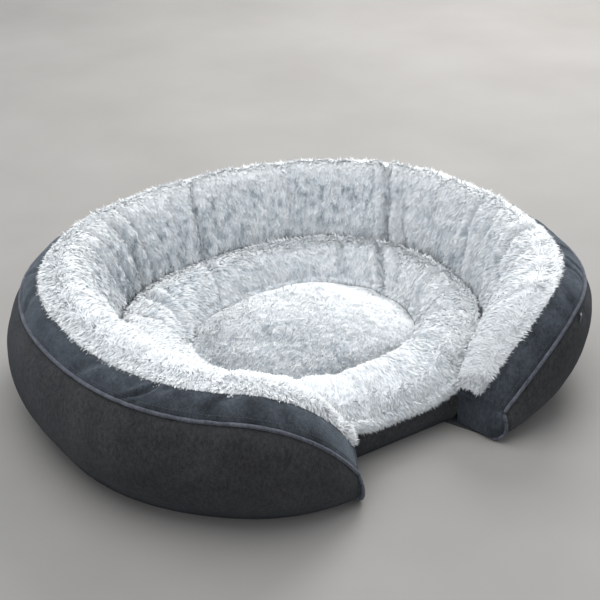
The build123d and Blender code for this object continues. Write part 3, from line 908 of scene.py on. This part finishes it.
def strands(name, root, ahead, up, length, width, tone, rng):
    """Flat tapered strands of two parts that start along 'up' and bend over towards 'ahead'."""
    count = len(root)
    spin = rng.uniform(-0.9, 0.9, count)[:, None]
    side = unit(np.cross(ahead, up))
    blade = unit(side * np.cos(spin) + up * np.sin(spin)) * (width / 2.0)[:, None]
    middle = root + (ahead * 0.52 + up * 0.19) * length[:, None]
    point = root + (ahead * 1.05 + up * 0.15) * length[:, None]
    sunk = root - up * 0.0015
    waist = blade * 0.85
    points = np.stack([sunk - blade, sunk + blade, middle + waist, middle - waist, point], axis=1)
    base = np.arange(count)[:, None] * 5
    quads, tris = base + np.array([[0, 1, 2, 3]]), base + np.array([[3, 2, 4]])
    shade = np.tile(np.array([0.0, 0.0, 0.55, 0.55, 1.0]), count)
    tones = np.repeat(tone, 5)
    attributes = (("tip", shade), ("tone", tones))
    piece = new_piece(name, points, [quads, tris], plush_pile, attributes)
    # Strands share most of the light of the cloth they stand on, which keeps the pile soft
    normals = unit(unit(up) + SOFTNESS * rng.normal(size=(count, 3)))
    piece.data.normals_split_custom_set_from_vertices(np.repeat(normals, 5, axis=0).astype(np.float32))
    return piece


def fur(name, sheet, count, seed, habit, size=PILE_SIZE, rows=(0, None), ruffle=1.0):
    """Fur over a plush grid. A habit is how the pile leans and how dark it is, place by place: grey roots
    show where it is brushed up, and painted shade darkens the faces turned from the light.
    """
    rng = np.random.default_rng(seed)
    count, (lean_at, roots_and_shade_at), (length, width) = int(count * FUR), habit, size
    column, row = scatter(sheet, count, rng, *rows)
    closed = sheet["closed"]
    root = bilinear(sheet["points"], column, row, closed)
    up = unit(bilinear(sheet["normals"], column, row, closed))
    rows_way = unit(bilinear(np.gradient(sheet["points"], axis=1), column, row, closed))
    round_way = unit(np.cross(rows_way, up))
    share = row / (sheet["points"].shape[1] - 1)
    ahead = lean_at(share, root, round_way, rows_way)
    swirl = (0.50 * noise(root, 0.035, seed + 1) + 0.25 * noise(root, 0.014, seed + 2))[:, None] * round_way
    clump = 0.22 * noise(root, 0.006, seed + 3)[:, None] * rows_way
    ahead = unit(ahead + ruffle * (swirl + clump + 0.28 * rng.normal(size=(count, 3))))
    lift = 0.70 + ruffle * (0.35 * noise(root, 0.007, seed + 4) + 0.2 * rng.normal(size=count))
    up_here = up * np.clip(lift, 0.25, 1.4)[:, None]
    lengths = length * (0.75 + 0.25 * noise(root, 0.02, seed + 5) + 0.25 * rng.random(count))
    widths = width * (0.7 + 0.6 * rng.random(count))
    flecks = noise(root, (0.005, 0.005, 0.016), 90) + 0.6 * noise(root, (0.009, 0.009, 0.030), 91)
    flecks = np.clip(flecks, -0.35, 1.0)
    patches = noise(root, (0.035, 0.035, 0.060), 92)
    # Painted shade: strands darken with the depth of the fold under them.
    shadow = 10.0 * bilinear(sheet["sunk"], column, row, closed)
    # The habit's darkening is partly grey roots and partly painted shade on the faces turned from the light.
    brushed = np.clip(roots_and_shade_at(share, root) + 0.25 * patches, 0.0, 1.0)
    tone = 0.92 - shadow - brushed * (0.52 * flecks + 0.27) + 0.10 * ruffle * rng.normal(size=count)
    tone = np.clip(tone, 0.0, 1.0)
    return strands(name, root, ahead, up_here, lengths, widths, tone, rng)


def parting(share, place):
    """-1 on the outer side of a soft parting line and 1 on its inner side."""
    return (2.0 * smooth((share - place + 0.09) / 0.18) - 1.0)[:, None]


def bolster_lean(share, root, round_way, rows_way):
    """Out and down over the band at the outer edge, in and down over the crest."""
    return rows_way * parting(share + 0.04 * noise(root, 0.03, 31), 0.16) + 0.15 * round_way


def bolster_roots_and_shade(share, root):
    """Where the pile is brushed up and shows its grey roots on the inner face, with painted shade added most
    of all at the back and on the right, the faces turned from the light.
    """
    at_back = smooth((root[:, 1] + 0.02) / 0.16)
    at_right = smooth((root[:, 0] - 0.10) / 0.20)
    return smooth((share - 0.30) / 0.22) * (0.25 + 0.75 * np.maximum(at_back, 0.6 * at_right))


def ring_lean(share, root, round_way, rows_way):
    in_front = smooth((HUB_Y - 0.15 - root[:, 1]) / 0.05) * smooth((0.16 - np.abs(root[:, 0])) / 0.06)
    way = parting(share + 0.05 * noise(root, 0.03, 32), 0.33)
    return rows_way * (1.0 + (way - 1.0) * in_front[:, None]) - 0.25 * round_way


# How dark the ring's pile is: grey roots over most of it, deepened by painted shade at the back and at the
# front, which face away from the light.
def ring_roots_and_shade(share, root):
    at_back = smooth((root[:, 1] + 0.05) / 0.15)
    return (0.30 + 0.45 * at_back) * smooth((share - 0.12) / 0.25) + 0.15 * smooth((-root[:, 1] - 0.15) / 0.1)


def crease_lean(share, root, round_way, rows_way):
    return 0.8 * round_way - 0.6 * rows_way


def dome_lean(share, root, round_way, rows_way):
    return np.array([[-0.75, -0.65, 0.0]]) + 0.0 * root


# How dark the centre's pile is: a little grey root everywhere, deepened by painted shade towards the
# front-left, away from the light.
def dome_roots_and_shade(share, root):
    towards_front = -0.56 * root[:, 0] - 0.83 * (root[:, 1] - HUB_Y - CENTRE_MIDDLE)
    return 0.20 + 0.60 * smooth((towards_front + 0.06) / 0.14)


BOLSTER_HABIT, RING_HABIT = (bolster_lean, bolster_roots_and_shade), (ring_lean, ring_roots_and_shade)
RING_EDGE_HABIT, DOME_HABIT = (crease_lean, ring_roots_and_shade), (dome_lean, dome_roots_and_shade)
BOLSTER_STRANDS, RING_STRANDS, CENTRE_STRANDS = 38000, 36000, 38000
for part in range(4):
    fur(f"bolster_fur_{part + 1}", bolster, BOLSTER_STRANDS, 101 + 20 * part, BOLSTER_HABIT, ruffle=0.7)
for part in range(2):
    fur(f"ring_fur_{part + 1}", ring, RING_STRANDS, 201 + 20 * part, RING_HABIT, ruffle=0.7)
fur("centre_fur", dome, CENTRE_STRANDS, 301, DOME_HABIT, CENTRE_SIZE, ruffle=0.45)

# Longer tufts along the edges that overhang the cloth, and where two plush panels meet
FRINGE_ROWS = 5
bolster_end, ring_end = PLUSH_ROWS - 1, RING_ROWS - 1
fur("plush_edge_fringe", bolster, 14000, 401, BOLSTER_HABIT, EDGE_SIZE, (0, FRINGE_ROWS))
fur("crease_fringe", bolster, 8000, 421, BOLSTER_HABIT, SEAM_SIZE, (bolster_end - FRINGE_ROWS, bolster_end))
fur("ring_edge_fringe", ring, 7000, 441, RING_EDGE_HABIT, SEAM_SIZE, (0, FRINGE_ROWS))
fur("ring_inner_fringe", ring, 7000, 461, RING_HABIT, SEAM_SIZE, (ring_end - FRINGE_ROWS, ring_end))


def arm_end_fringe():
    """Tufts that spill over the top of each arm's end face."""
    rng = np.random.default_rng(481)
    count = int(1800 * FUR)
    from_start, from_end = rng.uniform(0.0, 6.0, count), rng.uniform(0.0, 6.0, count)
    column = np.where(np.arange(count) % 2 == 0, from_start, COLUMNS - 1 - from_end)
    row = rng.uniform(0.0, PLUSH_ROWS - 1.5, count)
    root = bilinear(bolster["points"], column, row, False)
    up = unit(bilinear(bolster["normals"], column, row, False))
    turn = np.radians(bolster_turns[column.astype(int)])
    side = np.where(column < COLUMNS / 2, -1.0, 1.0)
    forward = np.stack([np.cos(turn) * side, np.sin(turn) * side, -0.45 + 0.0 * turn], axis=1)
    ahead = unit(forward + 0.30 * rng.normal(size=(count, 3)))
    lengths = EDGE_SIZE[0] * (0.7 + 0.5 * rng.random(count))
    tone = np.clip(0.85 + 0.12 * rng.normal(size=count), 0.0, 1.0)
    widths = EDGE_SIZE[1] * (0.8 + 0.5 * rng.random(count))
    strands("arm_end_fringe", root, ahead, up * 0.7, lengths, widths, tone, rng)


arm_end_fringe()


def entrance_fringe():
    """Tufts along the ring's front edge, hanging over the gusset."""
    rng = np.random.default_rng(501)
    count = int(3600 * FUR)
    turn = rng.uniform(-TIP - 1.0, TIP + 1.0, count) % 360.0
    column = np.interp(turn, ring_turns, np.arange(RING_COLUMNS))
    row = rng.uniform(0.0, 6.0, count)
    root = bilinear(ring["points"], column, row, True)
    up = unit(bilinear(ring["normals"], column, row, True))
    ahead = np.array([[0.0, -1.0, -0.5]]) + 0.32 * rng.normal(size=(count, 3))
    ahead = unit(ahead + 0.25 * noise(root, 0.012, 7)[:, None])
    lengths = 0.0105 * (0.7 + 0.5 * rng.random(count))
    tone = np.clip(0.80 + 0.2 * noise(root, 0.012, 8) + 0.12 * rng.normal(size=count), 0.0, 1.0)
    widths = 0.0018 * (0.7 + 0.5 * rng.random(count))
    strands("entrance_fringe", root, ahead, up * 0.6, lengths, widths, tone, rng)


entrance_fringe()

# ---- Side tag: a blank folded label sewn in under the piping ----


def tag_piece():
    low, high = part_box("side_tag")
    middle = (np.array(low) + np.array(high)) / 2.0
    outward = unit(np.array([middle[0], middle[1] - HUB_Y, 0.0]))
    sideways = np.array([-outward[1], outward[0], 0.0])
    width, drop = 0.0085, high.z - low.z - 0.001
    share = np.linspace(0.0, 1.0, 18)
    loop_out = 0.0018 * np.sin(np.pi * share) ** 0.5 + 0.0006 * np.sin(3.0 * np.pi * share)
    loop_down = drop * (0.5 - 0.5 * np.cos(2.0 * np.pi * share)) * np.where(share <= 0.5, 1.0, 0.97)
    front = np.where(share <= 0.5, 1.0, 0.0)
    across = np.linspace(-width / 2.0, width / 2.0, 9)
    grid = []
    for x in across:
        curl = 0.0006 * (x / width * 2.0) ** 2
        offset = loop_out * (0.4 + 0.6 * front) + curl
        grid.append(middle + outward[None] * (offset[:, None] - 0.0008) + sideways[None] * x
                    + np.array([0.0, 0.0, 1.0])[None] * (drop / 2.0 - loop_down)[:, None])
    points = np.stack(grid)
    piece = new_piece("side_tag_fold", points, [grid_faces(9, 18, False)], tag_cloth)
    solid = piece.modifiers.new("thickness", "SOLIDIFY")
    solid.thickness, solid.offset = 0.0005, 0.0
    return piece


tag = tag_piece()
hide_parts("side_tag")

# ---- Base cloth and wadding keep the CAD shape ----

for node, material in (("base_panel", base_felt), ("base_wadding", wadding_felt)):
    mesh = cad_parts[node].data
    mesh.materials.clear()
    mesh.materials.append(material)

# ---- Floor, light and camera ----

floor_material = Nodes("pale_floor")
grain = floor_material.noise(3.0, 3.0)
boards = floor_material.ramp(grain, (0.3, (0.245, 0.234, 0.222)), (0.7, (0.275, 0.264, 0.252)))
floor_material.set(Base_Color=boards)
floor_material.set(Roughness=0.75, Specular_IOR_Level=0.3)
floor_mesh = bpy.data.meshes.new("floor")
FLOOR_REACH, FLOOR_DROP = 8.0, 0.0005
corners = [(x * FLOOR_REACH, y * FLOOR_REACH, -FLOOR_DROP) for x, y in ((-1, -1), (1, -1), (1, 1), (-1, 1))]
floor_mesh.from_pydata(corners, [], [(0, 1, 2, 3)])
floor_mesh.materials.append(floor_material.material)
floor = bpy.data.objects.new("floor", floor_mesh)
bpy.context.scene.collection.objects.link(floor)


def area_light(name, place, target, size, power, colour):
    data = bpy.data.lights.new(name, "AREA")
    data.shape, data.size, data.energy, data.color = "DISK", size, power, colour
    light = bpy.data.objects.new(name, data)
    light.location = place
    light.rotation_euler = (Vector(target) - Vector(place)).to_track_quat("-Z", "Y").to_euler()
    bpy.context.scene.collection.objects.link(light)


area_light("window", (2.2, 1.5, 2.0), (0.0, 0.0, 0.1), 1.9, 90.0, (1.0, 0.99, 0.97))
area_light("sky_fill", (-0.5, 0.2, 3.0), (0.0, 0.0, 0.0), 3.0, 70.0, (0.97, 0.985, 1.0))

world = bpy.data.worlds.new("room")
world.use_nodes = True
background = world.node_tree.nodes["Background"]
background.inputs["Color"].default_value = (0.92, 0.96, 1.0, 1.0)
background.inputs["Strength"].default_value = 0.78
bpy.context.scene.world = world

camera_data = bpy.data.cameras.new("camera")
camera_data.lens = 75.0
camera_data.sensor_width = 36.0
camera = bpy.data.objects.new("camera", camera_data)
camera.location = (-0.988, -1.487, 1.1106)
camera.rotation_euler = (math.radians(60.87), 0.0, math.radians(-34.06))
bpy.context.scene.collection.objects.link(camera)
bpy.context.scene.camera = camera
bpy.context.scene.view_settings.view_transform = "Standard"
